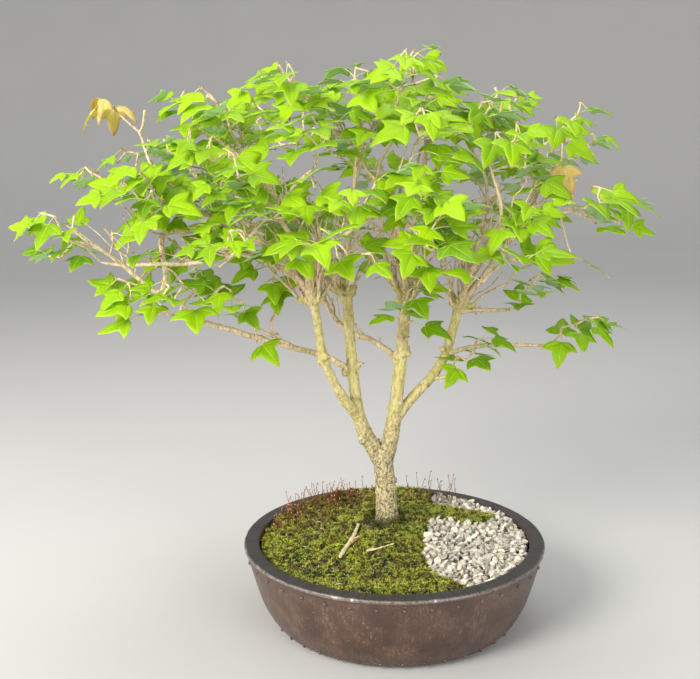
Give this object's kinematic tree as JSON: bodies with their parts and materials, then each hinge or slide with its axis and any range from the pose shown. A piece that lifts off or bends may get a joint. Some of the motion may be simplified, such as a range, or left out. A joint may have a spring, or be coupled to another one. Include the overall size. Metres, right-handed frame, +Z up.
{
  "type": "bonsai tree in a pot",
  "caption": "Bonsai maple with a forked pale trunk and a wide crown of three-lobed green leaves, in a round studded bowl pot with soil, moss and gravel.",
  "frame": {"origin": "centre of the pot's flat base, which stands on z = 0", "axes": "+X to the right along the crown's wide side, -Y to the front with the gravel on the right, +Z up the trunk"},
  "size_m": [0.5552, 0.3615, 0.5239],
  "materials": {
    "pot": "weathered satin",
    "screen": "matte mesh",
    "soil": "granular, moist",
    "moss": "soft, tufted",
    "gravel": "loose angular stones",
    "bark": "pale bark",
    "deadwood": "dry bark",
    "leaf": "satin leaf with veins",
    "dried_leaf": "dry, curled"
  },
  "bodies": {
    "root": {"pot": "pot", "drainage_screen_left": "screen", "drainage_screen_right": "screen", "soil": "soil", "moss_cushion": "moss", "moss_strip": "moss", "moss_patch": "moss", "gravel_bed": "gravel", "gravel_strip": "gravel", "fallen_twig_long": "deadwood", "fallen_twig_short": "deadwood", "edge_stone": "gravel", "trunk_and_branches": "bark", "leafy_shoot_01": "leaf", "leafy_shoot_02": "leaf", "leafy_shoot_03": "leaf", "leafy_shoot_04": "leaf", "leafy_shoot_05": "leaf", "leafy_shoot_06": "leaf", "leafy_shoot_07": "leaf", "leafy_shoot_08": "leaf", "leafy_shoot_09": "dried_leaf", "leafy_shoot_10": "leaf", "leafy_shoot_11": "leaf", "leafy_shoot_12": "leaf", "leafy_shoot_13": "leaf", "leafy_shoot_14": "leaf", "leafy_shoot_15": "leaf", "leafy_shoot_16": "leaf", "leafy_shoot_17": "leaf", "leafy_shoot_18": "leaf", "leafy_shoot_19": "leaf", "leafy_shoot_20": "leaf", "leafy_shoot_21": "leaf", "leafy_shoot_22": "leaf", "leafy_shoot_23": "leaf", "leafy_shoot_24": "leaf", "leafy_shoot_25": "leaf", "leafy_shoot_26": "leaf", "leafy_shoot_27": "leaf", "leafy_shoot_28": "leaf", "leafy_shoot_29": "leaf", "leafy_shoot_30": "leaf", "leafy_shoot_31": "leaf", "leafy_shoot_32": "leaf", "leafy_shoot_33": "leaf", "leafy_shoot_34": "leaf", "leafy_shoot_35": "leaf", "leafy_shoot_36": "leaf", "leafy_shoot_37": "leaf", "leafy_shoot_38": "leaf", "leafy_shoot_39": "leaf", "leafy_shoot_40": "leaf", "leafy_shoot_41": "leaf", "leafy_shoot_42": "leaf", "leafy_shoot_43": "leaf", "leafy_shoot_44": "leaf", "leafy_shoot_45": "leaf", "leafy_shoot_46": "leaf", "leafy_shoot_47": "leaf"}
  },
  "joints": []
}
